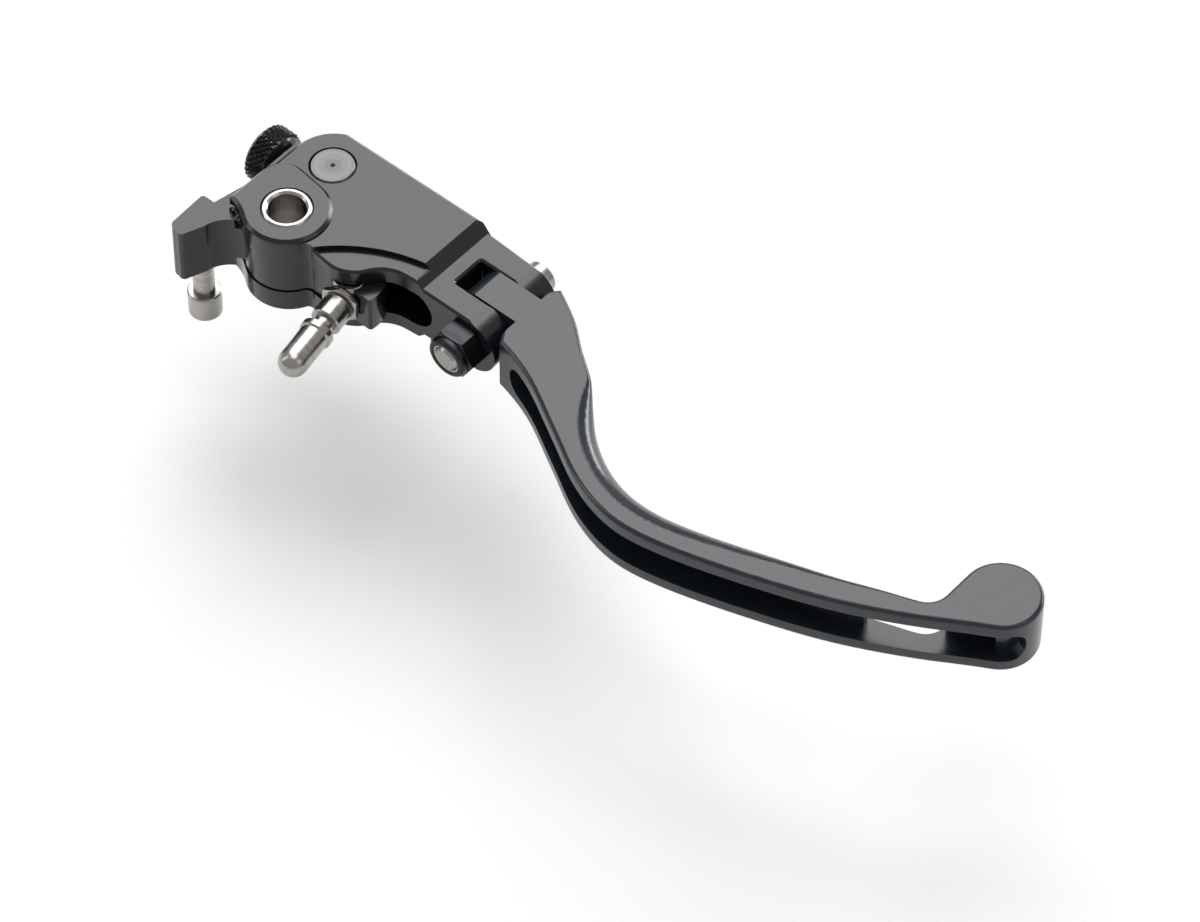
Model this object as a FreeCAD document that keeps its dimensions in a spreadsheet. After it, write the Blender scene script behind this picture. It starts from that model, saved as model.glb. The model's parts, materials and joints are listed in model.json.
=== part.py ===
import FreeCAD, Part
import math
import os
import Sketcher
from FreeCAD import Placement, Rotation, Vector

# Adjustable folding clutch lever, in millimetres.
# Origin: middle of the pivot bore. +X runs along the lever towards the ball end, +Y away from the
# handgrip, +Z up the pivot axis. Everything is symmetric about z = 0 unless it says otherwise.

SIZES = (
    ("bush_bore", 8.0, "pivot bolt hole through the bush"),
    ("bush_outer", 11.0, "outside of the pivot bush"),
    ("bush_proud", 0.15, "bush end above the boss"),
    ("run_gap", 0.05, "radial gap of a running fit"),
    ("slot_half", 4.8, "half the gap between the two plates"),
    ("arm_side_gap", 0.2, "gap between the arm and each plate"),
    ("plate_thick", 5.0, "thickness of one plate"),
    ("boss_rise", 1.0, "pivot boss above the plate"),
    ("boss_radius", 9.4, "pivot boss radius"),
    ("arm_boss_radius", 9.1, "round part of the arm between the plates"),
    ("ledge_drop", 1.15, "step down to the front ledge"),
    ("lever_half", 7.0, "half thickness of clevis, blade and finger"),
    ("left_edge", 11.2, "pivot to the plates' left edge"),
    ("rear_edge", 24.3, "pivot axis to the plates' rear edge"),
    ("front_edge", 3.9, "pivot axis to the clevis front face"),
    ("trunnion_left", 1.38, "trunnion axis left of the pivot"),
    ("screw_offset", 15.34, "adjuster screw axis behind the pivot"),
    ("trunnion_radius", 5.0, "trunnion pin radius"),
    ("screw_radius", 2.5, "adjuster screw radius"),
    ("screw_gap", 0.1, "gap round the adjuster screw"),
    ("ramp_start", 30.75, "where the plates step down to the clevis"),
    ("ramp_run", 2.65, "length of that step"),
    ("fold_x", 45.2, "fold bolt axis from the pivot"),
    ("fold_bolt_radius", 3.0, "fold bolt shank radius"),
    ("ear_x", 46.2, "centre of the clevis ears' round end"),
    ("ear_radius", 6.75, "radius of that round end"),
    ("ear_gap", 0.35, "gap between ear ends and blade shoulders"),
    ("slot_front", 10.0, "front wall of the clevis slot"),
    ("clevis_slot", 8.0, "width of the clevis slot"),
    ("slot_end", 36.9, "closed end of the clevis slot"),
    ("tongue_gap", 0.1, "gap each side of the blade tongue"),
    ("tongue_radius", 7.6, "rounded inner end of the tongue"),
    ("ball_x", 171.0, "ball end centre from the pivot"),
    ("ball_y", 19.9, "ball end centre from the pivot"),
    ("ball_radius", 8.35, "ball end radius"),
    ("neck_radius", 4.8, "hollow between blade and ball"),
    ("groove_half", 3.8, "half height of the front groove"),
    ("edge_round", 1.0, "rounding of the blade edges"),
    ("finger_round", 2.3, "rounding under the fingers"),
    ("barrel_x", 18.4, "pushrod barrel from the pivot"),
    ("barrel_y", 1.4, "pushrod barrel in front of the pivot"),
    ("barrel_radius", 3.8, "pushrod barrel radius"),
    ("barrel_half", 4.4, "half length of the barrel"),
    ("rod_angle", 10.6, "pushrod angle from straight forward, degrees"),
    ("rod_radius", 3.2, "pushrod nose radius"),
    ("rod_thread", 2.5, "pushrod thread radius"),
    ("pin_x", 14.3, "switch pin left of the pivot"),
    ("pin_y", 11.1, "switch pin in front of the pivot"),
    ("pin_radius", 2.3, "switch pin radius"),
    ("sleeve_radius", 3.6, "switch pin sleeve radius"),
    ("sleeve_top", 15.6, "sleeve top below the middle"),
    ("sleeve_length", 6.9, "sleeve length"),
    ("knob_radius", 6.3, "knurled knob radius"),
    ("knob_rim", 5.0, "width of the knurled rim"),
    ("knob_inner", 16.3, "rim's inner face left of the pivot"),
    ("ear_left", 14.6, "arm ear's left face, where the knob bears"),
    ("ear_thick", 2.4, "thickness of the arm ear"),
    ("washer_thick", 0.5, "thrust washer under the knob"),
    ("spring_x", 9.4, "preload spring left of the pivot"),
    ("spring_z", 6.7, "preload spring above the middle"),
    ("spring_radius", 1.8, "preload spring outside radius"),
    ("nut_across", 8.0, "pushrod jam nut across flats"),
    ("fold_nut_across", 10.0, "fold bolt nut across flats"),
    ("fold_head_radius", 3.5, "fold bolt head radius"),
)

doc = FreeCAD.newDocument("clutch_lever")
sheet = doc.addObject("Spreadsheet::Sheet", "Sizes")


class Size:
    """A number that also carries the spreadsheet expression it comes from."""

    def __init__(self, value, text):
        self.value = float(value)
        self.text = text

    def joined(self, other, sign, value):
        return Size(value, f"({self.text} {sign} {other.text})")

    def __add__(self, other):
        other = size(other)
        return self.joined(other, "+", self.value + other.value)

    def __sub__(self, other):
        other = size(other)
        return self.joined(other, "-", self.value - other.value)

    def __mul__(self, other):
        other = size(other)
        return self.joined(other, "*", self.value * other.value)

    def __radd__(self, other):
        return size(other) + self

    def __rsub__(self, other):
        return size(other) - self

    def __rmul__(self, other):
        return size(other) * self

    def __neg__(self):
        return Size(-self.value, f"(0 - {self.text})")

    def root(self):
        return Size(math.sqrt(self.value), f"sqrt({self.text})")


def size(amount):
    if isinstance(amount, Size):
        return amount
    return Size(amount, f"({float(amount):.6f})")


class Sheet:
    """Sizes by name, such as S.bush_bore."""


S = Sheet()
for row, (alias, number, note) in enumerate(SIZES, start=1):
    sheet.set(f"A{row}", alias)
    sheet.set(f"B{row}", str(number))
    sheet.set(f"C{row}", note)
    sheet.setAlias(f"B{row}", alias)
    setattr(S, alias, Size(number, f"Sizes.{alias}"))
doc.recompute()

SUBPARTS = []


def keep(item, label):
    """Marks an object as a sub-part, whose label names its file."""
    item.Label = label
    SUBPARTS.append(item)
    return item


def new_body(name):
    return doc.addObject("PartDesign::Body", name)


def bind(thing, name, amount):
    """Sets a property and ties it to the spreadsheet."""
    amount = size(amount)
    if name == "Placement.Base.z":
        thing.Placement = Placement(Vector(0, 0, amount.value), Rotation())
    else:
        setattr(thing, name, amount.value)
    if "Sizes." in amount.text:
        thing.setExpression(name, amount.text)


def new_sketch(body, name, plane, lift=0.0):
    """A sketch on one of the body's origin planes, raised along the plane's normal."""
    sketch = body.newObject("Sketcher::SketchObject", name)
    support = [item for item in body.Origin.OriginFeatures if item.Role == f"{plane}_Plane"][0]
    sketch.AttachmentSupport = [(support, "")]
    sketch.MapMode = "FlatFace"
    lift = size(lift)
    sketch.AttachmentOffset = Placement(Vector(0, 0, lift.value), Rotation())
    if "Sizes." in lift.text:
        sketch.setExpression(".AttachmentOffset.Base.z", lift.text)
    return sketch


def constrain(sketch, amount, *terms):
    amount = size(amount)
    index = sketch.addConstraint(Sketcher.Constraint(*terms, amount.value))
    if "Sizes." in amount.text:
        sketch.setExpression(f"Constraints[{index}]", amount.text)


def pin_point(sketch, item, end, x, y):
    """Holds one point of a sketch element at x, y."""
    for axis, amount, datum in (("DistanceX", size(x), -2), ("DistanceY", size(y), -1)):
        if abs(amount.value) < 1e-9:
            sketch.addConstraint(Sketcher.Constraint("PointOnObject", item, end, datum))
        else:
            constrain(sketch, amount, axis, -1, 1, item, end)


def arc(radius, turn, major=False):
    """An arc side that turns left (+1) or right (-1)."""
    return ("arc", size(radius), turn, major)


def curve(points, start, finish):
    """A smooth side through points, with its headings in degrees at both ends."""
    return ("curve", points, start, finish)


def heading(degrees):
    return Vector(math.cos(math.radians(degrees)), math.sin(math.radians(degrees)), 0)


def side_geometry(a, b, side):
    """Geometry of one side and the numbers of its start and end points."""
    if side is None:
        return Part.LineSegment(a, b), 1, 2
    if side[0] == "curve":
        points = [Vector(size(x).value, size(y).value, 0) for x, y in side[1]]
        spline = Part.BSplineCurve()
        spline.interpolate(Points=[a, *points, b], InitialTangent=heading(side[2]),
                           FinalTangent=heading(side[3]))
        return spline, 1, 2
    _, radius, turn, major = side
    chord = b - a
    rise = math.sqrt(radius.value ** 2 - (chord.Length / 2) ** 2)
    left = Vector(-chord.y, chord.x, 0).normalize()
    centre = (a + b) * 0.5 + left * rise * turn * (-1 if major else 1)
    first, last = (a, b) if turn > 0 else (b, a)
    start = math.atan2(first.y - centre.y, first.x - centre.x)
    stop = math.atan2(last.y - centre.y, last.x - centre.x)
    circle = Part.Circle(centre, Vector(0, 0, 1), radius.value)
    ends = (1, 2) if turn > 0 else (2, 1)
    return (Part.ArcOfCircle(circle, start, stop), *ends)


def outline(body, name, plane, corners, lift=0.0):
    """A closed outline. A corner is (x, y) or (x, y, side), the side being the one that leaves it."""
    sketch = new_sketch(body, name, plane, lift)
    spots = [Vector(size(corner[0]).value, size(corner[1]).value, 0) for corner in corners]
    sides = [corner[2] if len(corner) > 2 else None for corner in corners]
    made = []
    for index, side in enumerate(sides):
        shape, start, finish = side_geometry(spots[index], spots[(index + 1) % len(spots)], side)
        made.append((sketch.addGeometry(shape), start, finish))
    for index, (item, start, finish) in enumerate(made):
        after, after_start, _ = made[(index + 1) % len(made)]
        sketch.addConstraint(Sketcher.Constraint("Coincident", item, finish, after, after_start))
        pin_point(sketch, item, start, corners[index][0], corners[index][1])
        if sides[index] is not None and sides[index][0] == "arc":
            constrain(sketch, sides[index][1], "Radius", item)
    return sketch


def disc(body, name, plane, x, y, radius, lift=0.0):
    """A circle as a sketch of its own."""
    sketch = new_sketch(body, name, plane, lift)
    centre = Vector(size(x).value, size(y).value, 0)
    item = sketch.addGeometry(Part.Circle(centre, Vector(0, 0, 1), size(radius).value))
    pin_point(sketch, item, 3, x, y)
    constrain(sketch, radius, "Radius", item)
    return sketch


def extrude(body, kind, sketch, length, both=False, flip=False):
    """A Pad or Pocket of a sketch; both means half the length each way."""
    feature = body.newObject(f"PartDesign::{kind}", f"{sketch.Name}_{kind.lower()}")
    feature.Profile = sketch
    if both:
        feature.SideType = "Symmetric"
    feature.Reversed = flip
    bind(feature, "Length", length)
    return feature


def revolve(body, sketch, kind="Revolution"):
    """A full turn about the sketch's upright axis."""
    feature = body.newObject(f"PartDesign::{kind}", f"{sketch.Name}_turn")
    feature.Profile = sketch
    feature.ReferenceAxis = (sketch, ["V_Axis"])
    feature.Angle = 360
    return feature


def edges_at(shape, height, test):
    """Numbers of the edges that lie flat at a height and whose middle passes a test."""
    numbers = []
    for number, edge in enumerate(shape.Edges, start=1):
        middle = edge.valueAt((edge.FirstParameter + edge.LastParameter) / 2)
        points = [middle, *(vertex.Point for vertex in edge.Vertexes)]
        if all(abs(point.z - height) < 1e-4 for point in points) and test(middle):
            numbers.append(number)
    return numbers


def soften(base, kind, amount, height, test):
    """Part::Chamfer or Part::Fillet of the chosen edges, above and then below the middle."""
    for side in (1, -1):
        doc.recompute()
        numbers = edges_at(base.Shape, side * size(height).value, test)
        if not numbers:
            raise RuntimeError(f"{base.Label}: no edge to {kind.lower()}")
        made = doc.addObject(f"Part::{kind}", kind)
        made.Base = base
        amount = size(amount)
        made.Edges = [(number, amount.value, amount.value) for number in numbers]
        base = made
    return base


def turned(label, profile, placement):
    """A turned piece: a profile of (radius, height) spun about z, then placed."""
    body = new_body(label)
    revolve(body, outline(body, f"{label}_profile", "XZ", profile))
    body.Placement = placement
    return keep(body, label)


ALONG_X = Rotation(Vector(0, 0, 1), Vector(1, 0, 0))
ALONG_Y = Rotation(Vector(0, 0, 1), Vector(0, 1, 0))

plate_top = S.slot_half + S.plate_thick
boss_top = plate_top + S.boss_rise
ledge_top = plate_top - S.ledge_drop
arm_half = S.slot_half - S.arm_side_gap
slot_rear = S.slot_front + S.clevis_slot
tongue_front = S.slot_front + S.tongue_gap
tongue_rear = slot_rear - S.tongue_gap
shoulder = S.ear_x + S.ear_radius + S.ear_gap
bolt_seat = S.rear_edge - 0.6
spring_floor = 1.2
SNUG = 0.02
FAR = 30.0


def polar(radius, degrees):
    """A point at a distance and direction from the pivot."""
    angle = math.radians(degrees)
    return radius * math.cos(angle), radius * math.sin(angle)


def boss_start(radius, left):
    """Front left of the pivot boss, up to where its circle starts, blended by a hollow."""
    hollow = size(12.0)
    middle = polar(radius + hollow, -126.6)
    bend = polar(hollow, 78.4)
    return [
        (-left, -5.2),
        (middle[0] + bend[0], middle[1] + bend[1], arc(hollow, -1)),
        polar(radius, -126.6),
    ]


# ---------------------------------------------------------------- lever body
def make_boss():
    """Column of the pivot bosses, a hair inside the plates' walls, with both ends chamfered."""
    body = new_body("boss_column")
    inside = 0.03
    radius = S.boss_radius - inside
    edge = S.left_edge - inside
    start = boss_start(radius, edge)
    straight_start = polar(radius, 82.8)
    straight_end = [a + b for a, b in zip(straight_start, polar(size(6.53), 172.8))]
    corner_round = (edge + straight_end[0]) * (1 / (1 + math.sin(math.radians(7.2))))
    boss = outline(body, "boss", "XY", [
        start[0],
        start[1],
        (*start[2], arc(radius, 1, major=True)),
        straight_start,
        (*straight_end, arc(corner_round, 1)),
        (-edge, straight_end[1] - corner_round * math.cos(math.radians(7.2))),
    ])
    extrude(body, "Pad", boss, 2 * boss_top, both=True)
    return soften(body, "Chamfer", 0.7, boss_top, lambda p: True)


def cylinder(name, radius, half):
    """A cylinder on the pivot axis, reaching half above and below the middle."""
    made = doc.addObject("Part::Cylinder", name)
    bind(made, "Radius", radius)
    bind(made, "Height", 2 * half)
    bind(made, "Placement.Base.z", -half)
    return made


def combined(kind, name, base, tool):
    """Part::Fuse or Part::Cut of two objects."""
    made = doc.addObject(f"Part::{kind}", name)
    made.Base = base
    made.Tool = tool
    return made


def make_lever_body():
    """Two plates round the arm, joined behind it, ending in the clevis for the blade."""
    body = new_body("lever_plates")
    corner = S.left_edge - S.trunnion_left
    rise = S.rear_edge - S.screw_offset
    start = boss_start(S.boss_radius, S.left_edge)
    plan = outline(body, "plates", "XY", [
        start[0],
        start[1],
        (*start[2], arc(S.boss_radius, 1)),
        (8.15, -(S.boss_radius * S.boss_radius - 8.15 ** 2).root(), arc(1.9, -1)),
        (10.0, -3.75),
        (15.0, -4.36, arc(7.8, 1)),
        (22.55, -0.5, arc(8.1, -1)),
        (29.0, S.front_edge - 0.35),
        (33.0, S.front_edge),
        (shoulder + FAR, S.front_edge),
        (shoulder + FAR, S.rear_edge - 2.5),
        (S.ramp_start + 0.5 * S.ramp_run, S.rear_edge + 0.3),
        (-S.trunnion_left - (corner * corner - rise * rise).root(), S.rear_edge, arc(corner, 1)),
        (-S.left_edge, S.screw_offset),
    ])
    extrude(body, "Pad", plan, 2 * plate_top, both=True)
    rear = S.rear_edge.value
    left = S.left_edge.value

    # Steps down to the clevis, and rounds the ends of its ears.
    for side in (1, -1):
        drop = -0.65 * 0.65
        ear_top = (S.ear_radius * S.ear_radius + drop).root()
        profile = outline(body, "clevis_top" if side > 0 else "clevis_bottom", "XZ", [
            (S.ramp_start, side * (plate_top + 1)),
            (S.ramp_start, side * plate_top),
            (S.ramp_start + S.ramp_run, side * S.lever_half),
            (S.ear_x - 0.2, side * S.lever_half),
            (S.ear_x + 0.65, side * ear_top, arc(S.ear_radius, -side)),
            (S.ear_x + S.ear_radius, 0),
            (shoulder + FAR + 1, 0),
            (shoulder + FAR + 1, side * (plate_top + 1)),
        ], lift=FAR)
        extrude(body, "Pocket", profile, 3 * FAR)

    slot_corner = 0.6
    slot = outline(body, "clevis_slot", "XY", [
        (shoulder + FAR, S.slot_front),
        (S.slot_end + slot_corner, S.slot_front, arc(slot_corner, -1)),
        (S.slot_end, S.slot_front + slot_corner),
        (S.slot_end, slot_rear - slot_corner, arc(slot_corner, -1)),
        (S.slot_end + slot_corner, slot_rear),
        (shoulder + FAR, slot_rear),
    ])
    extrude(body, "Pocket", slot, 4 * plate_top, both=True)

    # Space for the arm, with a full-round end behind the front face.
    cavity_end = 31.2
    cavity = outline(body, "arm_space", "XY", [
        (-FAR, -FAR),
        (cavity_end, -FAR),
        (cavity_end, 9.0),
        (26.0, 14.0),
        (26.0, S.rear_edge - 3.9),
        (-FAR, S.rear_edge - 3.9),
    ])
    extrude(body, "Pocket", cavity, 2 * S.slot_half, both=True)
    round_end = disc(body, "arm_space_end", "XZ", cavity_end, 0, S.slot_half)
    extrude(body, "Pocket", round_end, 9.0)

    for side in (1, -1):
        word = "top" if side > 0 else "bottom"
        ledge = outline(body, f"ledge_{word}", "XY", [
            (10.0, -4.4, arc(35.4, -1)),
            (32.4, 8.3),
            (36.0, 8.3),
            (36.0, -9.0),
            (10.0, -9.0),
        ], lift=side * (plate_top + 1))
        extrude(body, "Pocket", ledge, S.ledge_drop + 1, flip=side < 0)

    fold_hole = disc(body, "fold_hole", "XZ", S.fold_x, 0, S.fold_bolt_radius + S.run_gap)
    extrude(body, "Pocket", fold_hole, 2 * FAR)
    spot = disc(body, "bolt_seat", "XZ", S.fold_x, 0, S.fold_head_radius + 0.4, lift=-bolt_seat)
    extrude(body, "Pocket", spot, 3.0)

    plates = soften(body, "Chamfer", 1.0, plate_top, lambda p: p.y > rear - 3 and p.x > 0)
    plates = soften(plates, "Chamfer", 1.0, plate_top, lambda p: p.x < -6 and p.y > -4)
    plates = soften(plates, "Chamfer", 0.5, ledge_top, lambda p: p.y < 0.5 * p.x - 9)
    plates = soften(plates, "Chamfer", 0.5, S.lever_half, lambda p: p.x < 45 and p.y < 4.5)
    plates = soften(plates, "Chamfer", 0.5, S.lever_half, lambda p: p.x < 45 and p.y > rear - 2)
    near_slot = (S.slot_front.value - 0.1, slot_rear.value + 0.1, S.slot_end.value - 0.1)
    plates = soften(plates, "Chamfer", 0.45, S.lever_half, lambda p: (
        p.x < 45 and near_slot[0] < p.y < near_slot[1] and near_slot[2] < p.x))
    solid = combined("Fuse", "lever_solid", plates, make_boss())
    hole = cylinder("pivot_hole", 0.5 * S.bush_outer + S.run_gap, boss_top + 1)
    between = cylinder("boss_gap", S.boss_radius + 4, S.slot_half)
    bored = combined("Cut", "lever_bored", solid, hole)
    parted = combined("Cut", "lever_parted", bored, between)
    seat = new_body("spring_seat")
    extrude(seat, "Pad", disc(seat, "spring_seat_edge", "XZ", -S.spring_x, S.spring_z,
                              S.spring_radius + 0.35, lift=8.0), 8.0 - spring_floor, flip=True)
    seated = combined("Cut", "lever_seated", parted, seat)
    trunnion_hole = cylinder("trunnion_hole", S.trunnion_radius + S.run_gap, boss_top + 1)
    trunnion_hole.Placement.Base += Vector(-S.trunnion_left.value, S.screw_offset.value, 0)
    return keep(combined("Cut", "lever_body", seated, trunnion_hole), "lever_body")


# ---------------------------------------------------------------- blade
def make_blade():
    """The folding blade: a tongue for the clevis, a curved finger grip and a ball end."""
    body = new_body("blade_blank")
    lean = 30.0
    ball_front = (S.ball_x + S.ball_radius * math.sin(math.radians(lean)),
                  S.ball_y - S.ball_radius * math.cos(math.radians(lean)))
    ball_left = S.ball_x - S.ball_radius
    neck_y = S.ball_y - 7.0
    neck_turn = 22.5
    neck_foot = (ball_left - S.neck_radius * (1 - math.sin(math.radians(neck_turn))),
                 neck_y - S.neck_radius * math.cos(math.radians(neck_turn)))
    front = curve([(65.5, 0.25), (73.3, -4.0), (79.5, -7.5), (85.6, -11.0), (92.6, -14.0),
                   (102.7, -15.8), (110.1, -14.95), (121.0, -12.2), (133.8, -8.05),
                   (S.ball_x - 22.5, S.ball_y - 22.2), (S.ball_x - 6.0, S.ball_y - 13.4)],
                  -12, lean)
    rear = curve([(S.ball_x - 17.7, S.ball_y - 13.7), (S.ball_x - 26.0, S.ball_y - 16.6),
                  (134.6, 0.45), (124.4, -2.2), (113.8, -4.75), (107.4, -5.9), (100.0, -6.15),
                  (92.1, -4.4), (85.6, -1.15), (81.9, 1.6)],
                 180 + neck_turn, 137)
    grip_start = (74.9, 8.6)
    grip_full = (78.3, 5.1)
    plan = outline(body, "blade_plan", "XY", [
        (S.slot_end, tongue_front + 1.4),
        (S.slot_end + 2.4, tongue_front),
        (shoulder, tongue_front),
        (shoulder, S.front_edge + 1.7),
        (shoulder + 0.9, S.front_edge + 0.1, front),
        (*ball_front, arc(S.ball_radius, 1, major=True)),
        (ball_left, S.ball_y),
        (ball_left, neck_y, arc(S.neck_radius, -1)),
        (*neck_foot, rear),
        (*grip_full, curve([(76.6, 6.9)], 134, 135)),
        (*grip_start, curve([(68.0, 13.7), (62.0, 18.5)], 138, 150)),
        (shoulder + 1.1, S.rear_edge - 1.4),
        (shoulder, S.rear_edge - 2.8),
        (shoulder, tongue_rear),
        (S.slot_end + 2.4, tongue_rear),
        (S.slot_end, tongue_rear - 1.4),
    ])
    extrude(body, "Pad", plan, 2 * S.lever_half, both=True)

    # Rounds the tongue about the fold bolt.
    flat_start = S.fold_x - (S.tongue_radius * S.tongue_radius - S.lever_half * S.lever_half).root()
    tongue = outline(body, "tongue_end", "XZ", [
        (S.slot_end - 5, S.lever_half + 1),
        (S.slot_end - 5, -S.lever_half - 1),
        (flat_start, -S.lever_half - 1),
        (flat_start, -S.lever_half, arc(S.tongue_radius, -1)),
        (flat_start, S.lever_half),
        (flat_start, S.lever_half + 1),
    ])
    extrude(body, "Pocket", tongue, FAR)
    extrude(body, "Pocket", disc(body, "bush_hole", "XZ", S.fold_x, 0, S.fold_bolt_radius + 1), FAR)
    spring_seat = disc(body, "fold_spring_seat", "XZ", S.fold_x, 0,
                       S.fold_bolt_radius + 2.9, lift=-tongue_rear + 3.2)
    extrude(body, "Pocket", spring_seat, FAR)

    # Groove along the front face, deeper and open at the back beside the ball.
    inner = S.ball_radius - 2.6
    floor = curve([(68.0, 5.5), (76.0, 0.6), (84.0, -4.4), (91.4, -7.4), (99.8, -8.8),
                   (107.6, -8.6), (124.9, -4.7), (138.0, -1.1)], -18, 20)
    groove = outline(body, "groove", "XY", [
        (59.4, 9.0, floor),
        (S.ball_x - 20.4, S.ball_y - 17.1),
        (S.ball_x - 21.9, S.ball_y - 13.2),
        (S.ball_x + 1.0, S.ball_y - 1.7),
        (S.ball_x + inner * math.sin(math.radians(lean)),
         S.ball_y - inner * math.cos(math.radians(lean)), arc(inner, 1)),
        (S.ball_x + inner * math.cos(math.radians(14)), S.ball_y - inner * math.sin(math.radians(14))),
        (S.ball_x + FAR * math.cos(math.radians(14)), S.ball_y - FAR * math.sin(math.radians(14))),
        (S.ball_x + FAR, -FAR),
        (57.0, -FAR),
        (57.0, 0.6),
    ])
    extrude(body, "Pocket", groove, 2 * S.groove_half, both=True)
    blank = soften(body, "Fillet", S.groove_half - 0.3, S.groove_half, lambda p: p.x < 60 and p.y > 0.6)
    blank = soften(blank, "Fillet", S.groove_half - 0.3, S.groove_half, lambda p: (
        p.x > S.ball_x.value + 6 and on_ray(p, S.ball_x.value, S.ball_y.value, -14)))
    doc.recompute()

    # Rounded edges, wider under the fingers.
    blade = doc.addObject("Part::Fillet", "blade_edges")
    blade.Base = blank
    wall = (S.lever_half - S.groove_half).value
    small = min(S.edge_round.value, 0.45 * wall)
    wide = min(S.finger_round.value, 0.72 * wall)
    rounds = []
    for number, edge in enumerate(blank.Shape.Edges, start=1):
        middle = edge.valueAt((edge.FirstParameter + edge.LastParameter) / 2)
        if abs(abs(middle.z) - S.lever_half.value) > 1e-4 or middle.x < shoulder.value + 0.2:
            continue
        rounds.append((number, *edge_radii(edge, small, wide, grip_start, grip_full)))
    blade.Edges = rounds
    body.Visibility = False
    return keep(blade, "lever_blade")


def on_ray(point, x, y, degrees):
    """True for a point on a ray from a plan centre."""
    angle = math.degrees(math.atan2(point.y - y, point.x - x))
    return abs(angle - degrees) < 0.5


def edge_radii(edge, small, wide, grip_start, grip_full):
    """Start and end radius of a blade edge: small at the root and the ball, wide under the fingers."""
    def radius_at(point):
        if math.hypot(point.x - grip_full[0], point.y - grip_full[1]) < 0.1:
            return wide
        return small
    first = edge.valueAt(edge.FirstParameter)
    last = edge.valueAt(edge.LastParameter)
    return radius_at(first), radius_at(last)


# ---------------------------------------------------------------- arm
def make_arm():
    """The inner arm: pivot boss, finger with the switch pin, ear for the adjuster, barrel socket."""
    body = new_body("actuator_arm")
    radius = S.arm_boss_radius
    mouth = 3.6
    barrel_gap = S.barrel_radius + S.run_gap
    half_mouth = (barrel_gap * barrel_gap - (mouth - S.barrel_y) * (mouth - S.barrel_y)).root()
    ear_right = -S.ear_left + S.ear_thick
    ear_rear = S.screw_offset + 3.8
    plan = outline(body, "arm_plan", "XY", [
        (-6.4, -(radius * radius - 6.4 ** 2).root(), arc(radius, 1)),
        (8.0, -(radius * radius - 8.0 ** 2).root(), arc(2.2, -1)),
        (10.2, -3.4),
        (S.barrel_x - half_mouth, -mouth, arc(barrel_gap, -1, major=True)),
        (S.barrel_x + half_mouth, -mouth),
        (S.barrel_x + 6.9, -mouth - 0.1, arc(0.8, 1)),
        (S.barrel_x + 7.6, -mouth + 0.8, arc(7.9, 1)),
        (S.barrel_x + 4.2, -S.barrel_y + 6.3, arc(7.6, 1)),
        (S.barrel_x, -S.barrel_y + 7.5),
        (5.0, (radius * radius - 5.0 ** 2).root(), arc(radius, 1)),
        (-4.6, (radius * radius - 4.6 ** 2).root()),
        (ear_right, S.screw_offset - 5.4),
        (ear_right, ear_rear),
        (-S.ear_left, ear_rear),
        (-S.ear_left, 3.0),
        (-16.5, -6.3),
        (-16.5, -9.0),
        (-9.0, -9.0),
    ])
    extrude(body, "Pad", plan, 2 * arm_half, both=True)
    finger = outline(body, "finger_plan", "XY", [
        (-17.8, -7.1, ),
        (-17.45, -15.5, arc(1.9, 1)),
        (-15.4, -17.15),
        (-14.6, -17.35, arc(1.2, 1)),
        (-13.3, -16.3),
        (-11.75, -12.4, arc(7.2, -1)),
        (-8.1, -7.35),
        (-9.1, -6.35),
        (-17.0, -6.3, arc(0.8, 1)),
    ])
    extrude(body, "Pad", finger, 2 * S.lever_half, both=True)
    # Hollow front of the finger, carried on between the plates.
    hollow = outline(body, "finger_hollow", "XY", [
        (-11.75, -12.4, arc(7.2, -1)),
        (-6.4, -(radius * radius - 6.4 ** 2).root()),
        (-5.0, -12.4),
    ])
    extrude(body, "Pocket", hollow, 4 * S.lever_half, both=True)
    pivot = disc(body, "arm_pivot_hole", "XY", 0, 0, 0.5 * S.bush_outer + S.run_gap)
    extrude(body, "Pocket", pivot, 4 * S.lever_half, both=True)
    pin_hole = disc(body, "pin_hole", "XY", -S.pin_x, -S.pin_y, S.pin_radius + SNUG,
                    lift=-S.lever_half - 1)
    extrude(body, "Pocket", pin_hole, S.lever_half + 1, flip=True)
    screw_hole = disc(body, "screw_hole", "YZ", S.screw_offset, 0, S.screw_radius + S.screw_gap,
                      lift=-S.ear_left - 2)
    extrude(body, "Pocket", screw_hole, S.ear_thick + 4, flip=True)
    return keep(body, "actuator_arm")


# ---------------------------------------------------------------- turned pieces
def ring(label, inner, outer, length, placement, edge=0.0):
    """A plain or chamfered ring, from z = 0 to its length."""
    if edge:
        profile = [
            (inner + edge, 0), (outer - edge, 0), (outer, edge), (outer, length - edge),
            (outer - edge, length), (inner + edge, length), (inner, length - edge), (inner, edge),
        ]
    else:
        profile = [(inner, 0), (outer, 0), (outer, length), (inner, length)]
    return turned(label, profile, placement)


def make_pivot_bush():
    half = boss_top + S.bush_proud
    ring("pivot_bush", 0.5 * S.bush_bore, 0.5 * S.bush_outer, 2 * half,
         Placement(Vector(0, 0, -half.value), Rotation()), 0.5)


def along_screw(left):
    """Places a piece turned about z on the adjuster axis, its start this far left of the pivot."""
    return Placement(Vector(-size(left).value, S.screw_offset.value, 0), ALONG_X)


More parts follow.
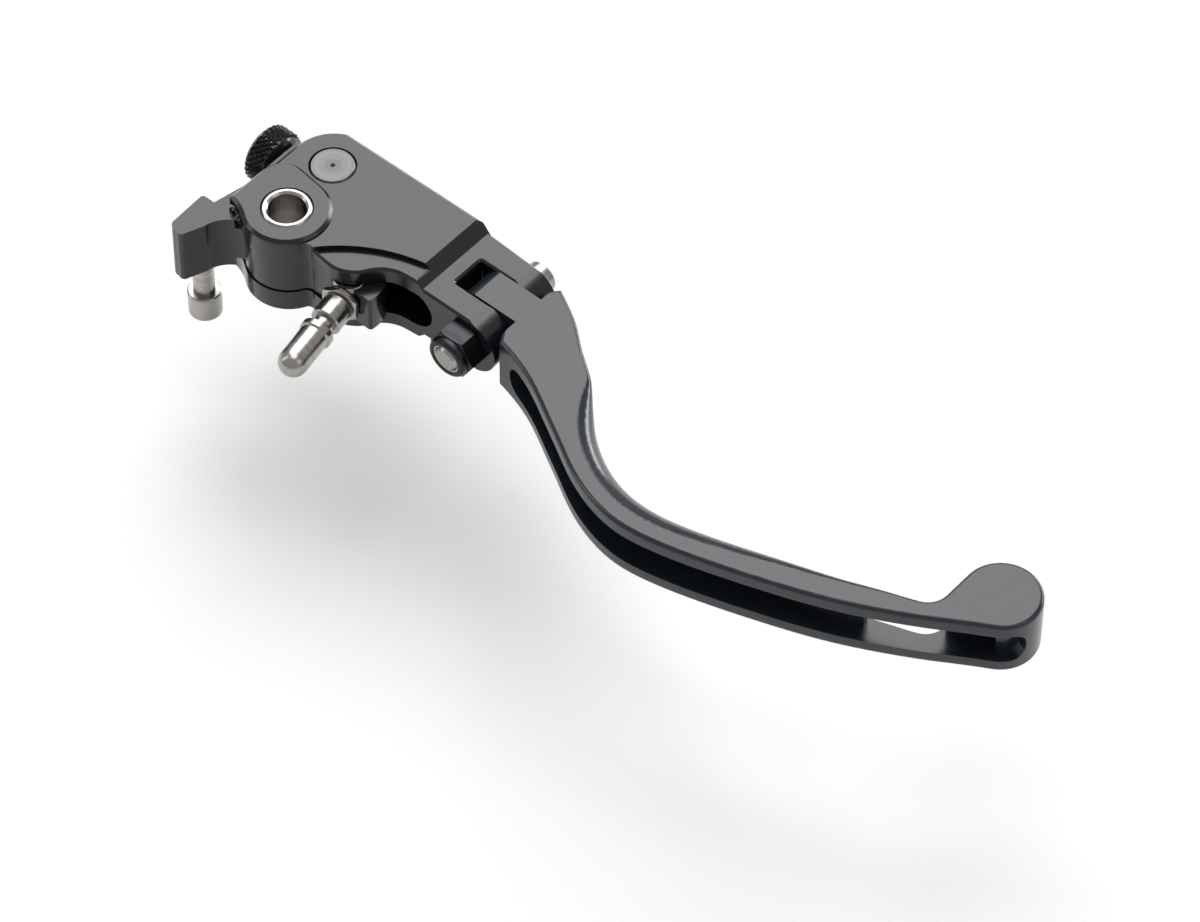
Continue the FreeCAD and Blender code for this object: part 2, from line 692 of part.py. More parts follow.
def make_adjuster():
    """Knob, screw and the key between them, washer, clip and the cross-drilled trunnion."""
    knob_left = S.knob_inner + S.knob_rim
    hub_end = knob_left - S.ear_left - S.washer_thick
    bore = S.screw_radius + SNUG
    key_radius = 0.8

    knob = new_body("adjuster_knob")
    revolve(knob, outline(knob, "knob_profile", "XZ", [
        (bore, 0), (S.knob_radius - 0.7, 0), (S.knob_radius, 0.7),
        (S.knob_radius, S.knob_rim - 0.4), (S.knob_radius - 0.4, S.knob_rim),
        (S.knob_radius - 0.5, S.knob_rim, arc(3.6, 1)), (S.knob_radius - 2.6, hub_end),
        (bore, hub_end),
    ]))
    keyway = disc(knob, "knob_keyway", "XY", S.screw_radius, 0, key_radius + SNUG)
    extrude(knob, "Pocket", keyway, S.knob_rim, flip=True)
    knob.Placement = along_screw(knob_left)
    keep(knob, "adjuster_knob")

    groove_left = 7.2
    groove_wide = 0.7
    start = 0.3
    length = knob_left - start + 9.5
    groove_at = knob_left - start + groove_left
    screw = new_body("adjuster_screw")
    revolve(screw, outline(screw, "screw_profile", "XZ", [
        (0, 0), (S.screw_radius - 0.5, 0), (S.screw_radius, 0.5), (S.screw_radius, groove_at),
        (S.screw_radius - 0.55, groove_at), (S.screw_radius - 0.55, groove_at + groove_wide),
        (S.screw_radius, groove_at + groove_wide), (S.screw_radius, length - 0.5),
        (S.screw_radius - 0.5, length), (0, length),
    ]))
    keyway = disc(screw, "screw_keyway", "XY", S.screw_radius, 0, key_radius + SNUG)
    extrude(screw, "Pocket", keyway, S.knob_rim - start, flip=True)
    screw.Placement = along_screw(knob_left - start)
    keep(screw, "adjuster_screw")

    pin = turned("knob_pin", [
        (0, 0), (key_radius - 0.15, 0), (key_radius, 0.15), (key_radius, S.knob_rim - start - 0.3),
        (0, S.knob_rim - start - 0.3),
    ], Placement())
    offset = ALONG_X.multVec(Vector(S.screw_radius.value, 0, 0))
    pin.Placement = Placement(along_screw(knob_left - start - 0.1).Base + offset, ALONG_X)

    ring("thrust_washer", S.screw_radius + S.screw_gap, S.knob_radius - 2.4,
         S.washer_thick - SNUG, along_screw(S.ear_left + S.washer_thick - SNUG))

    clip_radius = S.screw_radius + 1.4
    clip = new_body("screw_clip")
    revolve(clip, outline(clip, "clip_profile", "XZ", [
        (S.screw_radius - 0.53, 0), (clip_radius, 0), (clip_radius, 0.6),
        (S.screw_radius - 0.53, 0.6),
    ]))
    mouth = outline(clip, "clip_mouth", "XY", [(0, -1.5), (6, -1.5), (6, 1.5), (0, 1.5)])
    extrude(clip, "Pocket", mouth, 4, both=True)
    clip.Placement = along_screw(-groove_left - 0.05)
    keep(clip, "screw_clip")

    low = plate_top
    high = plate_top + 0.1
    trunnion = new_body("adjuster_trunnion")
    revolve(trunnion, outline(trunnion, "trunnion_profile", "XZ", [
        (0, -low), (S.trunnion_radius - 0.5, -low), (S.trunnion_radius, 0.5 - low),
        (S.trunnion_radius, high - 0.5), (S.trunnion_radius - 0.5, high), (0.55, high),
        (0, high - 0.55),
    ]))
    cross = disc(trunnion, "trunnion_cross_hole", "YZ", 0, 0, S.screw_radius + S.screw_gap)
    extrude(trunnion, "Pocket", cross, 3 * S.trunnion_radius, both=True)
    trunnion.Placement = Placement(Vector(-S.trunnion_left.value, S.screw_offset.value, 0),
                                   Rotation())
    keep(trunnion, "adjuster_trunnion")


def hexagon(body, name, across, length):
    """A hexagonal prism with its corners on the sketch's y axis, turned down at both ends."""
    corner = across * (1 / math.sqrt(3))
    points = []
    for step in range(6):
        angle = math.radians(90 + 60 * step)
        points.append((corner * round(math.cos(angle), 9), corner * round(math.sin(angle), 9)))
    extrude(body, "Pad", outline(body, name, "XY", points), length)
    inner = 0.5 * across - 0.1
    for word, end, into in (("low", size(0), 1), ("high", size(length), -1)):
        revolve(body, outline(body, f"{name}_{word}", "XZ", [
            (inner, end), (corner + 0.4, end), (corner + 0.4, end + into * 0.55),
        ]), "Groove")


def make_pushrod():
    """Barrel, threaded rod with a round nose, and its jam nut."""
    centre = Vector(S.barrel_x.value, -S.barrel_y.value, 0)
    tilt = Rotation(Vector(0, 0, 1), S.rod_angle.value)
    along = tilt * Rotation(Vector(0, 0, 1), Vector(0, -1, 0))
    flat = S.barrel_radius - 0.65
    nut_start = flat + 0.05
    nut_thick = 1.3
    collar = nut_start + nut_thick + 0.02
    r = S.rod_radius
    thread = S.rod_thread
    nose = collar + 17.4
    turned("pushrod", [
        (0, -2.6), (thread - 0.4, -2.6), (thread, -2.2), (thread, collar),
        (r - 0.1, collar), (r + 0.2, collar + 0.3), (r + 0.2, collar + 5.1),
        (r - 0.1, collar + 5.4), (r - 0.9, collar + 5.4), (r - 0.9, collar + 7.55),
        (r, collar + 7.55), (r + 0.4, collar + 7.95), (r + 0.4, collar + 9.3),
        (r, collar + 9.7), (r, nose, arc(r, 1)), (0, nose + r),
    ], Placement(centre, along))

    nut = new_body("pushrod_nut")
    hexagon(nut, "pushrod_nut_plan", S.nut_across, nut_thick)
    extrude(nut, "Pocket", disc(nut, "pushrod_nut_hole", "XY", 0, 0, thread + SNUG), 20, both=True)
    nut.Placement = Placement(centre + along.multVec(Vector(0, 0, nut_start.value)), along)
    keep(nut, "pushrod_nut")

    barrel = new_body("pushrod_barrel")
    radius, half = S.barrel_radius, S.barrel_half
    revolve(barrel, outline(barrel, "barrel_profile", "XZ", [
        (0, -half), (radius - 0.5, -half), (radius, 0.5 - half), (radius, half - 0.5),
        (radius - 0.5, half), (0, half),
    ]))
    front = outline(barrel, "barrel_flat", "XY", [(-6, -flat), (-6, -9), (6, -9), (6, -flat)])
    extrude(barrel, "Pocket", front, 4 * half, both=True)
    cross = disc(barrel, "barrel_cross_hole", "XZ", 0, 0, thread + S.run_gap)
    extrude(barrel, "Pocket", cross, 4 * radius, both=True)
    barrel.Placement = Placement(centre, tilt)
    keep(barrel, "pushrod_barrel")


def make_switch_pin():
    """Pin under the arm's finger and the sleeve on its end."""
    low = S.sleeve_top + 1.2
    spot = Placement(Vector(-S.pin_x.value, -S.pin_y.value, 0), Rotation())
    turned("switch_pin", [
        (0, -low), (S.pin_radius - 0.3, -low), (S.pin_radius, 0.3 - low),
        (S.pin_radius, -0.6), (S.pin_radius - 0.5, -0.1), (0, -0.1),
    ], spot)
    top = S.sleeve_top
    bottom = top + S.sleeve_length
    turned("switch_pin_sleeve", [
        (0, -bottom), (S.sleeve_radius - 0.7, -bottom), (S.sleeve_radius, 0.7 - bottom),
        (S.sleeve_radius, -top - 0.3), (S.sleeve_radius - 0.3, -top), (S.pin_radius + SNUG, -top),
        (S.pin_radius + SNUG, -low - SNUG), (0, -low - SNUG),
    ], spot)


def make_fold_hardware():
    """Bolt, locking nut with its nylon ring, and the bush the blade turns on."""
    r = S.fold_bolt_radius
    thread_end = 2.6
    length = bolt_seat + thread_end
    bolt = new_body("fold_bolt")
    head = S.fold_head_radius
    revolve(bolt, outline(bolt, "bolt_profile", "XZ", [
        (0, 0), (r - 0.7, 0), (r, 0.7), (r, length), (head, length), (head, length + 3.8),
        (head - 0.4, length + 4.2), (0, length + 4.2),
    ]))
    socket = []
    for step in range(6):
        angle = math.radians(60 * step)
        socket.append((0.64 * r * round(math.cos(angle), 9), 0.64 * r * round(math.sin(angle), 9)))
    extrude(bolt, "Pocket", outline(bolt, "bolt_socket", "XY", socket, lift=length + 4.2), 2.4)
    bolt.Placement = Placement(Vector(S.fold_x.value, -thread_end, 0), ALONG_Y)
    keep(bolt, "fold_bolt")

    away = Rotation(Vector(0, 0, 1), Vector(0, -1, 0))
    seat = Placement(Vector(S.fold_x.value, S.front_edge.value, 0), away)
    nut = new_body("fold_nut")
    hexagon(nut, "fold_nut_plan", S.fold_nut_across, 4.7)
    revolve(nut, outline(nut, "fold_nut_collar", "XZ", [
        (r + 1.04, 4.0), (r + 1.75, 4.0), (r + 1.75, 5.35, arc(0.95, 1)), (r + 0.8, 6.3),
        (r + 0.4, 6.3), (r + 0.4, 6.0), (r + 1.04, 6.0),
    ]))
    extrude(nut, "Pocket", disc(nut, "fold_nut_hole", "XY", 0, 0, r + SNUG), 30, both=True)
    nut.Placement = seat * Placement(Vector(), Rotation(Vector(0, 0, 1), 30))
    keep(nut, "fold_nut")
    ring("fold_nut_insert", r + SNUG, r + 1.02, 1.2,
         seat * Placement(Vector(0, 0, 4.75), Rotation()))
    start = S.slot_front + 0.5 * S.tongue_gap
    ring("fold_bush", r + S.run_gap, r + 1 - SNUG, S.clevis_slot - S.tongue_gap,
         Placement(Vector(S.fold_x.value, start.value, 0), ALONG_Y), 0.3)


def coil(label, mean, wire, pitch, turns, placement):
    """A helical spring, standing on z = 0."""
    body = new_body(label)
    section = disc(body, f"{label}_wire", "XZ", mean, wire, wire)
    helix = body.newObject("PartDesign::AdditiveHelix", f"{label}_helix")
    helix.Profile = section
    helix.ReferenceAxis = (section, ["V_Axis"])
    helix.Mode = "pitch-turns-angle"
    helix.Pitch = size(pitch).value
    helix.Turns = turns
    body.Placement = placement
    return keep(body, label)


def make_springs():
    wire = 0.3
    room = 6.3 - spring_floor - 0.1
    turns = 4.0
    coil("preload_spring", S.spring_radius - wire, wire, (room - 2 * wire) / turns, turns,
         Placement(Vector(-S.spring_x.value, 0.05 - 6.3, S.spring_z.value), ALONG_Y))
    wire = 0.45
    coil("fold_spring", S.fold_bolt_radius + 2.1, wire, 1.05, 2.0,
         Placement(Vector(S.fold_x.value, (tongue_rear - 3.15).value, 0), ALONG_Y))


make_lever_body()
make_blade()
make_arm()
make_pivot_bush()
make_adjuster()
make_pushrod()
make_switch_pin()
make_fold_hardware()
make_springs()

doc.recompute()
for item in doc.Objects:
    if any(word in item.State for word in ("Invalid", "Error")):
        raise RuntimeError(f"{item.Name} ({item.Label}) is {item.State}")
for item in doc.Objects:
    if item.TypeId == "PartDesign::Pocket" and item.BaseFeature:
        if item.BaseFeature.Shape.Volume - item.Shape.Volume < 0.001:
            raise RuntimeError(f"{item.Label} cuts nothing away")
for item in SUBPARTS:
    if item.Shape.isNull() or not item.Shape.isValid():
        raise RuntimeError(f"{item.Label} has no valid shape")

os.makedirs("parts", exist_ok=True)
for item in SUBPARTS:
    item.Shape.exportStep(f"parts/{item.Label}.step")
    box = item.Shape.BoundBox
    print(f"{item.Label}: {len(item.Shape.Solids)} solid(s), {item.Shape.Volume:.0f} mm3, "
          f"x {box.XMin:.1f} to {box.XMax:.1f}, y {box.YMin:.1f} to {box.YMax:.1f}, "
          f"z {box.ZMin:.1f} to {box.ZMax:.1f}")
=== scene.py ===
import json
import math

import bpy
from mathutils import Euler, Matrix, Vector


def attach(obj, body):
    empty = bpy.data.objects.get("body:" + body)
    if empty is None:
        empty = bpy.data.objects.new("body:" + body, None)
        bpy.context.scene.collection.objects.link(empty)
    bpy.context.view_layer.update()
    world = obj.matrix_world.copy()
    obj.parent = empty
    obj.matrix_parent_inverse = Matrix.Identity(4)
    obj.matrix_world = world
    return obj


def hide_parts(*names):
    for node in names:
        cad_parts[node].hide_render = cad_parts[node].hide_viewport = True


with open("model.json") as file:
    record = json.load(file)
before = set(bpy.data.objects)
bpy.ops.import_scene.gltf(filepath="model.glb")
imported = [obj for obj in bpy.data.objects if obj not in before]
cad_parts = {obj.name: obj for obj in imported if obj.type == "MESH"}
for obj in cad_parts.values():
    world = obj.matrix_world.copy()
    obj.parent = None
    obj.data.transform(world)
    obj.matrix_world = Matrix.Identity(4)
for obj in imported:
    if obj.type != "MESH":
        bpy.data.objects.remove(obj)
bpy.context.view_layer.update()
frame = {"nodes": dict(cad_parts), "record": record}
MM = 0.001
SCREW_Y = 15.34 * MM      # adjuster screw axis, behind the pivot
KNURL_ROOT = 5.95 * MM    # radius of the knob's rim between the studs

# Axes of the turned pieces, as (point in mm, turn in degrees that lays local z along the axis).
PIVOT = ((0, 0, 0), (0, 0, 0))
ADJUSTER = ((-18.8, 15.34, 0), (0, 90, 0))
TRUNNION = ((-1.38, 15.34, 0), (0, 0, 0))
ROD = ((18.4, -1.4, 0), (90, 0, 10.6))
BARREL = ((18.4, -1.4, 0), (0, 0, 10.6))
SWITCH_PIN = ((-14.3, -11.1, 0), (0, 0, 0))
FOLD = ((45.2, 14, 0), (-90, 0, 0))


# ---------------------------------------------------------------- node helpers
def add(tree, kind, inputs=(), **settings):
    """Adds a node, sets its properties, and fills inputs with values or links."""
    node = tree.nodes.new(kind)
    for name, value in settings.items():
        setattr(node, name, value)
    for key, value in dict(inputs).items():
        socket = node.inputs[key]
        if isinstance(value, bpy.types.NodeSocket):
            tree.links.new(value, socket)
        else:
            socket.default_value = value
    return node


def calc(tree, operation, *values):
    """One Math node; returns its output."""
    return add(tree, "ShaderNodeMath", dict(enumerate(values)), operation=operation).outputs[0]


def shade_group(name, inputs, outputs):
    """An empty shader node group with named sockets."""
    group = bpy.data.node_groups.new(name, "ShaderNodeTree")
    for label, kind, default in inputs:
        socket = group.interface.new_socket(label, in_out="INPUT", socket_type=f"NodeSocket{kind}")
        if default is not None:
            socket.default_value = default
    for label, kind in outputs:
        group.interface.new_socket(label, in_out="OUTPUT", socket_type=f"NodeSocket{kind}")
    return group, group.nodes.new("NodeGroupInput").outputs, group.nodes.new("NodeGroupOutput")


def make_blasted_grain():
    """Fine bead-blasted grain with a faint crosswise weave left by the cutter."""
    group, given, result = shade_group(
        "blasted grain",
        [("Vector", "Vector", None), ("Grain", "Float", 3000.0), ("Weave", "Float", 0.3)],
        [("Height", "Float"), ("Patch", "Float")])
    fine = add(group, "ShaderNodeTexNoise", {"Vector": given["Vector"], "Scale": given["Grain"],
                                             "Detail": 3.0, "Roughness": 0.6})
    broad = add(group, "ShaderNodeTexNoise", {"Vector": given["Vector"], "Scale": 90.0, "Detail": 2.0})
    split = add(group, "ShaderNodeSeparateXYZ", {0: given["Vector"]})
    warp = calc(group, "SINE", calc(group, "MULTIPLY", split.outputs["X"], 9000.0))
    weft = calc(group, "SINE", calc(group, "MULTIPLY", split.outputs["Y"], 9000.0))
    cross = calc(group, "MULTIPLY", calc(group, "MULTIPLY", warp, weft), given["Weave"])
    height = calc(group, "ADD", fine.outputs[0], calc(group, "MULTIPLY", cross, 0.25))
    group.links.new(height, result.inputs["Height"])
    group.links.new(broad.outputs[0], result.inputs["Patch"])
    return group


def make_turning_marks():
    """Rings left by a lathe: along the side by height, across the ends by radius."""
    group, given, result = shade_group(
        "turning marks",
        [("Vector", "Vector", None), ("Rings", "Float", 2500.0)],
        [("Height", "Float"), ("Shift", "Float")])
    split = add(group, "ShaderNodeSeparateXYZ", {0: given["Vector"]})
    square = [calc(group, "MULTIPLY", split.outputs[axis], split.outputs[axis]) for axis in "XY"]
    radius = calc(group, "SQRT", calc(group, "ADD", *square))
    along = calc(group, "ADD", radius, split.outputs["Z"])
    rings = add(group, "ShaderNodeTexNoise", {"W": calc(group, "MULTIPLY", along, given["Rings"]),
                                              "Scale": 1.0, "Detail": 2.0, "Roughness": 0.7},
                noise_dimensions="1D")
    tone = add(group, "ShaderNodeTexNoise", {"W": calc(group, "MULTIPLY", along, 500.0),
                                             "Scale": 1.0, "Detail": 1.0}, noise_dimensions="1D")
    group.links.new(rings.outputs[0], result.inputs["Height"])
    group.links.new(tone.outputs[0], result.inputs["Shift"])
    return group


def make_thread_ridges():
    """A helical ridge about local z."""
    group, given, result = shade_group(
        "thread ridges", [("Vector", "Vector", None), ("Pitch", "Float", 0.0008)],
        [("Height", "Float")])
    split = add(group, "ShaderNodeSeparateXYZ", {0: given["Vector"]})
    turn = calc(group, "ARCTAN2", split.outputs["Y"], split.outputs["X"])
    climb = calc(group, "MULTIPLY", calc(group, "DIVIDE", split.outputs["Z"], given["Pitch"]), math.tau)
    group.links.new(calc(group, "SINE", calc(group, "SUBTRACT", climb, turn)), result.inputs["Height"])
    return group


BLASTED_GRAIN = make_blasted_grain()
TURNING_MARKS = make_turning_marks()
THREAD_RIDGES = make_thread_ridges()


def new_material(name, colour, **shader):
    """A Principled material; returns it with its tree, its shader and its object coordinates."""
    material = bpy.data.materials.new(name)
    material.use_nodes = True
    tree = material.node_tree
    bsdf = tree.nodes["Principled BSDF"]
    bsdf.inputs["Base Color"].default_value = (*colour, 1)
    for label, value in shader.items():
        bsdf.inputs[label.replace("_", " ")].default_value = value
    return material, tree, bsdf, add(tree, "ShaderNodeTexCoord").outputs["Object"]


def vary(tree, mask, dark, light):
    """A colour between two others by a mask."""
    ramp = add(tree, "ShaderNodeMix", {"Factor": mask, "A": (*dark, 1), "B": (*light, 1)},
               data_type="RGBA")
    return ramp.outputs["Result"]


def span(tree, mask, low, high):
    """A mask stretched to a range."""
    return add(tree, "ShaderNodeMapRange", {"Value": mask, "To Min": low, "To Max": high}).outputs[0]


def bump(tree, height, strength, distance):
    return add(tree, "ShaderNodeBump", {"Height": height, "Strength": strength,
                                        "Distance": distance}).outputs[0]


def anodised(name, dark, light, rough, grain=3000.0, strength=0.10):
    """Black anodised aluminium with a blasted surface."""
    material, tree, bsdf, place = new_material(name, dark, Metallic=0.0)
    finish = add(tree, "ShaderNodeGroup", node_tree=BLASTED_GRAIN)
    tree.links.new(place, finish.inputs["Vector"])
    finish.inputs["Grain"].default_value = grain
    tree.links.new(vary(tree, finish.outputs["Patch"], dark, light), bsdf.inputs["Base Color"])
    tree.links.new(span(tree, finish.outputs["Patch"], rough - 0.04, rough + 0.04),
                   bsdf.inputs["Roughness"])
    tree.links.new(bump(tree, finish.outputs["Height"], strength, 0.00005), bsdf.inputs["Normal"])
    return material


def turned(name, axis, dark, light, rough, metallic=1.0, thread=None, strength=0.12):
    """Lathe-turned metal about an axis, threaded where a pitch is given."""
    material, tree, bsdf, place = new_material(name, light, Metallic=metallic)
    (x, y, z), turn = axis
    local = add(tree, "ShaderNodeMapping", {
        "Vector": place, "Location": (x * MM, y * MM, z * MM),
        "Rotation": [math.radians(angle) for angle in turn]}, vector_type="TEXTURE").outputs[0]
    marks = add(tree, "ShaderNodeGroup", node_tree=TURNING_MARKS)
    tree.links.new(local, marks.inputs["Vector"])
    tree.links.new(vary(tree, marks.outputs["Shift"], dark, light), bsdf.inputs["Base Color"])
    tree.links.new(span(tree, marks.outputs["Height"], rough - 0.05, rough + 0.06),
                   bsdf.inputs["Roughness"])
    normal = bump(tree, marks.outputs["Height"], strength, 0.00003)
    if thread:
        ridges = add(tree, "ShaderNodeGroup", node_tree=THREAD_RIDGES)
        tree.links.new(local, ridges.inputs["Vector"])
        ridges.inputs["Pitch"].default_value = thread
        both = add(tree, "ShaderNodeBump", {"Height": ridges.outputs["Height"], "Strength": 0.9,
                                            "Distance": 0.00012, "Normal": normal})
        normal = both.outputs[0]
    tree.links.new(normal, bsdf.inputs["Normal"])
    return material


STEEL_DARK, STEEL_LIGHT = (0.24, 0.225, 0.21), (0.48, 0.465, 0.44)
LEVER_FINISH = anodised("black anodised lever body", (0.004, 0.005, 0.007), (0.007, 0.008, 0.011), 0.20)
BLADE_FINISH = anodised("black anodised blade", (0.010, 0.013, 0.017), (0.014, 0.018, 0.023), 0.20)
ARM_FINISH = anodised("black anodised arm", (0.004, 0.005, 0.006), (0.007, 0.008, 0.010), 0.20)
KNOB_FINISH = turned("gloss black knob", ADJUSTER, (0.006, 0.006, 0.007), (0.010, 0.010, 0.011),
                     0.16, metallic=0.0, strength=0.05)


def steel(name, axis, rough=0.26, thread=None):
    return turned(name, axis, STEEL_DARK, STEEL_LIGHT, rough, thread=thread)


def dark_steel(name, axis, rough=0.35, thread=None):
    return turned(name, axis, (0.02, 0.02, 0.022), (0.05, 0.05, 0.055), rough, thread=thread)


NODE_FINISH = {
    "lever_body": LEVER_FINISH,
    "lever_blade": BLADE_FINISH,
    "actuator_arm": ARM_FINISH,
    "pivot_bush": steel("turned pivot bush", PIVOT, 0.22),
    "adjuster_trunnion": turned("turned trunnion", TRUNNION, (0.055, 0.054, 0.054),
                                (0.130, 0.127, 0.126), 0.24, strength=0.4),
    "adjuster_screw": steel("threaded adjuster screw", ADJUSTER, 0.30, 0.0008),
    "knob_pin": dark_steel("knob key", ADJUSTER),
    "thrust_washer": steel("thrust washer", ADJUSTER, 0.30),
    "screw_clip": dark_steel("spring clip", ADJUSTER),
    "preload_spring": steel("spring wire", ((-9.4, -6, 6.7), (-90, 0, 0)), 0.28),
    "pushrod": steel("turned pushrod", ROD, 0.24),
    "pushrod_nut": steel("jam nut", ROD),
    "pushrod_barrel": steel("turned barrel", BARREL, 0.26),
    "switch_pin": steel("turned switch pin", SWITCH_PIN, 0.26),
    "switch_pin_sleeve": steel("turned pin sleeve", SWITCH_PIN, 0.30),
    "fold_bolt": steel("turned fold bolt", FOLD, 0.24),
    "fold_nut": dark_steel("black locknut", FOLD),
    "fold_nut_insert": turned("nylon ring", FOLD, (0.62, 0.62, 0.58), (0.7, 0.7, 0.66), 0.45, 0.0),
    "fold_bush": turned("bronze bush", FOLD, (0.35, 0.21, 0.09), (0.55, 0.36, 0.17), 0.32),
    "fold_spring": steel("fold spring wire", FOLD, 0.28),
}


def body_of(node):
    bodies = frame["record"]["behaviour"]["bodies"]
    return next(body for body, nodes in bodies.items() if node in nodes)


def dress(node, name, material, change=None):
    """A welded, smoothly shaded copy of a CAD node with its finish, in the node's place."""
    mesh = frame["nodes"][node].data.copy()
    mesh.name = name
    piece = bpy.data.objects.new(name, mesh)
    bpy.context.collection.objects.link(piece)
    weld = piece.modifiers.new("weld", "WELD")
    weld.merge_threshold = 1e-6
    shown = bpy.data.meshes.new_from_object(
        piece.evaluated_get(bpy.context.evaluated_depsgraph_get()))
    piece.modifiers.remove(weld)
    piece.data = shown
    if change:
        change(shown)
    shown.materials.clear()
    shown.materials.append(material)
    shade_evenly(shown)
    settle(piece, node)


def shade_evenly(mesh, crease=26.0):
    """Smooths each corner over its neighbours within the crease angle, larger faces counting more."""
    mesh.shade_smooth()
    near = math.cos(math.radians(crease))
    around = [[] for _ in mesh.vertices]
    faces = [(polygon.normal.copy(), polygon.area) for polygon in mesh.polygons]
    for polygon in mesh.polygons:
        for vertex in polygon.vertices:
            around[vertex].append(polygon.index)
    normals = []
    for polygon in mesh.polygons:
        for vertex in polygon.vertices:
            total = Vector()
            for normal, area in (faces[index] for index in around[vertex]):
                if normal.dot(polygon.normal) > near:
                    total += normal * area
            normals.append(total.normalized() if total.length else polygon.normal)
    mesh.normals_split_custom_set(normals)


def settle(piece, node):
    """Hides the node and rides the piece on its node's body, in that node's place."""
    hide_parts(node)
    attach(piece, body_of(node))


def lower_rim(mesh):
    """Takes the knob's rim down to the root of its knurl."""
    for vertex in mesh.vertices:
        out = Vector((vertex.co.y - SCREW_Y, vertex.co.z))
        if out.length > KNURL_ROOT:
            out *= KNURL_ROOT / out.length
            vertex.co.y, vertex.co.z = SCREW_Y + out.x, out.y


def knurl_tree(material):
    """Geometry Nodes: staggered rows of low pyramids round a rim on the x axis."""
    tree = bpy.data.node_groups.new("diamond knurl", "GeometryNodeTree")
    for label, kind, default in (("Radius", "Float", 0.006), ("Height", "Float", 0.0004),
                                 ("Start", "Float", 0.0), ("Step", "Float", 0.0006),
                                 ("Around", "Int", 34), ("Rows", "Int", 8)):
        socket = tree.interface.new_socket(label, in_out="INPUT", socket_type=f"NodeSocket{kind}")
        socket.default_value = default
    tree.interface.new_socket("Geometry", in_out="OUTPUT", socket_type="NodeSocketGeometry")
    given = tree.nodes.new("NodeGroupInput").outputs
    result = tree.nodes.new("NodeGroupOutput")
    number = add(tree, "GeometryNodeInputIndex").outputs[0]
    row = calc(tree, "FLOOR", calc(tree, "DIVIDE", number, given["Around"]))
    odd = calc(tree, "MULTIPLY", calc(tree, "MODULO", row, 2.0), 0.5)
    angle = calc(tree, "DIVIDE", calc(tree, "MULTIPLY", calc(tree, "ADD", number, odd), math.tau),
                 given["Around"])
    across = calc(tree, "ADD", given["Start"], calc(tree, "MULTIPLY", row, given["Step"]))
    up = calc(tree, "MULTIPLY", calc(tree, "COSINE", angle), given["Radius"])
    inward = calc(tree, "MULTIPLY", given["Radius"], -1.0)
    side = calc(tree, "MULTIPLY", calc(tree, "SINE", angle), inward)
    spot = add(tree, "ShaderNodeCombineXYZ", {"X": across, "Y": side, "Z": up}).outputs[0]
    count = calc(tree, "MULTIPLY", given["Around"], given["Rows"])
    points = add(tree, "GeometryNodePoints", {"Count": count, "Position": spot}).outputs[0]
    stud = add(tree, "GeometryNodeMeshCone", {
        "Vertices": 4, "Radius Top": calc(tree, "MULTIPLY", given["Step"], 0.12),
        "Radius Bottom": given["Step"],
        "Depth": given["Height"]}).outputs[0]
    turn = add(tree, "ShaderNodeCombineXYZ", {"X": angle}).outputs[0]
    placed = add(tree, "GeometryNodeInstanceOnPoints",
                 {"Points": points, "Instance": stud, "Rotation": turn}).outputs[0]
    real = add(tree, "GeometryNodeRealizeInstances", {0: placed}).outputs[0]
    painted = add(tree, "GeometryNodeSetMaterial", {"Geometry": real, "Material": material}).outputs[0]
    tree.links.new(painted, result.inputs[0])
    return tree


def make_knurl():
    """Diamond knurl of the knob's rim, as a plain mesh about the screw axis."""
    maker = bpy.data.objects.new("knurl maker", bpy.data.meshes.new("knurl maker"))
    bpy.context.collection.objects.link(maker)
    tree = knurl_tree(KNOB_FINISH)
    wanted = {"Radius": 5.98 * MM, "Height": 0.60 * MM, "Start": -20.45 * MM, "Step": 0.72 * MM,
              "Around": 28, "Rows": 6}
    work = maker.modifiers.new("knurl", "NODES")
    work.node_group = tree
    for item in tree.interface.items_tree:
        if item.in_out == "INPUT":
            work[item.identifier] = wanted[item.name]
    mesh = bpy.data.meshes.new_from_object(
        maker.evaluated_get(bpy.context.evaluated_depsgraph_get()))
    bpy.data.objects.remove(maker)
    mesh.transform(Matrix.Translation((0, SCREW_Y, 0)))
    piece = bpy.data.objects.new("knob_knurl", mesh)
    bpy.context.collection.objects.link(piece)
    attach(piece, body_of("adjuster_knob"))


for node, finish in NODE_FINISH.items():
    dress(node, f"{node}_finished", finish)
dress("adjuster_knob", "adjuster_knob_finished", KNOB_FINISH, lower_rim)
make_knurl()


# ---------------------------------------------------------------- studio
def make_floor():
    """Pale floor below the lever."""
    size, height = 6.0, -0.050
    mesh = bpy.data.meshes.new("studio_floor")
    corners = [(-size, -size, height), (size, -size, height),
               (size, size, height), (-size, size, height)]
    mesh.from_pydata(corners, [], [(0, 1, 2, 3)])
    floor = bpy.data.objects.new("studio_floor", mesh)
    bpy.context.collection.objects.link(floor)
    material, tree, bsdf, place = new_material("pale floor", (0.86, 0.86, 0.86), Roughness=0.85)
    cloud = add(tree, "ShaderNodeTexNoise", {"Vector": place, "Scale": 3.0})
    tree.links.new(vary(tree, cloud.outputs[0], (0.80, 0.80, 0.80), (0.82, 0.82, 0.82)),
                   bsdf.inputs["Base Color"])
    mesh.materials.append(material)


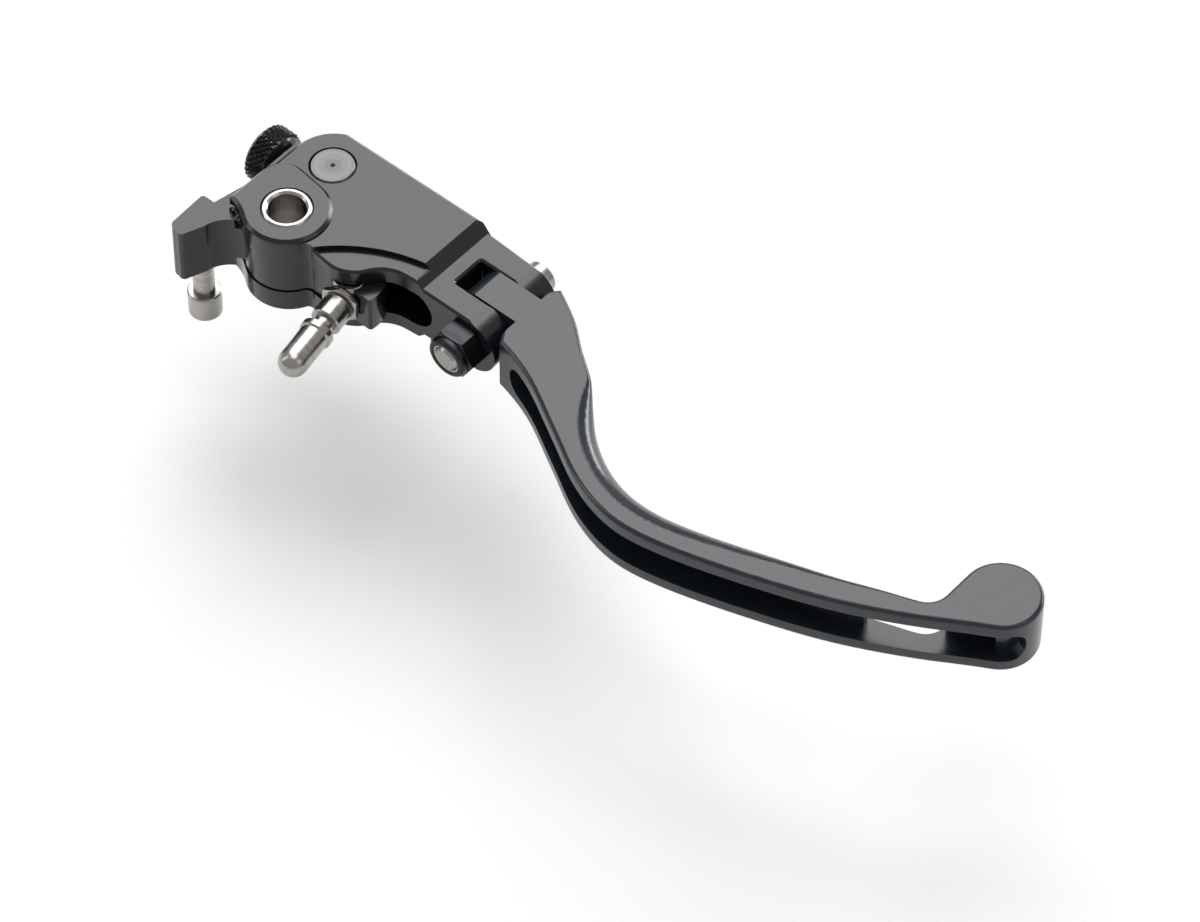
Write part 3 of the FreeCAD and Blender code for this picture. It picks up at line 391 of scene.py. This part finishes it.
def soft_light(name, azimuth, elevation, distance, wide, tall, power):
    """An area light aimed at the lever; azimuth as for the camera."""
    light = bpy.data.lights.new(name, "AREA")
    light.shape = "RECTANGLE"
    light.size, light.size_y, light.energy = wide, tall, power
    lamp = bpy.data.objects.new(name, light)
    a, e = math.radians(azimuth), math.radians(elevation)
    back = Vector((math.sin(a) * math.cos(e), -math.cos(a) * math.cos(e), math.sin(e)))
    lamp.location = AIM + back * distance
    lamp.rotation_euler = (-back).to_track_quat("-Z", "Y").to_euler()
    bpy.context.collection.objects.link(lamp)


AIM = Vector((86.16, -1.85, 0)) * MM
make_floor()
# Name, azimuth and elevation in degrees, distance, width and height in metres, power in watts.
for row in (
    ("back softbox", 220.7, 52, 1.1, 0.9, 0.7, 7.6),
    ("overhead softbox", 190, 82, 1.3, 0.9, 0.9, 6),
    ("left strip", -55, 30, 1.2, 0.3, 1.0, 1.5),
    ("right fill", 100, 35, 1.3, 0.7, 0.7, 1.0),
    ("rear strip", 172, 7, 1.2, 0.9, 0.3, 6.0),
):
    soft_light(*row)

world = bpy.data.worlds.new("white studio")
world.use_nodes = True
world.node_tree.nodes["Background"].inputs["Color"].default_value = (1, 1, 1, 1)
world.node_tree.nodes["Background"].inputs["Strength"].default_value = 0.50
bpy.context.scene.world = world
bpy.context.scene.view_settings.view_transform = "Standard"

lens = bpy.data.cameras.new("studio camera")
lens.lens, lens.sensor_width = 190.39, 36
camera = bpy.data.objects.new("studio camera", lens)
azimuth, elevation, distance = math.radians(40.68), math.radians(50.75), 1267.1 * MM
back = Vector((math.sin(azimuth) * math.cos(elevation), -math.cos(azimuth) * math.cos(elevation),
               math.sin(elevation)))
level = (-back).to_track_quat("-Z", "Y").to_matrix().to_4x4()
camera.matrix_world = (Matrix.Translation(AIM + back * distance) @ level
                       @ Euler((0, 0, math.radians(0.256))).to_matrix().to_4x4())
lens.clip_start, lens.clip_end = 0.05, 20
bpy.context.collection.objects.link(camera)
bpy.context.scene.camera = camera
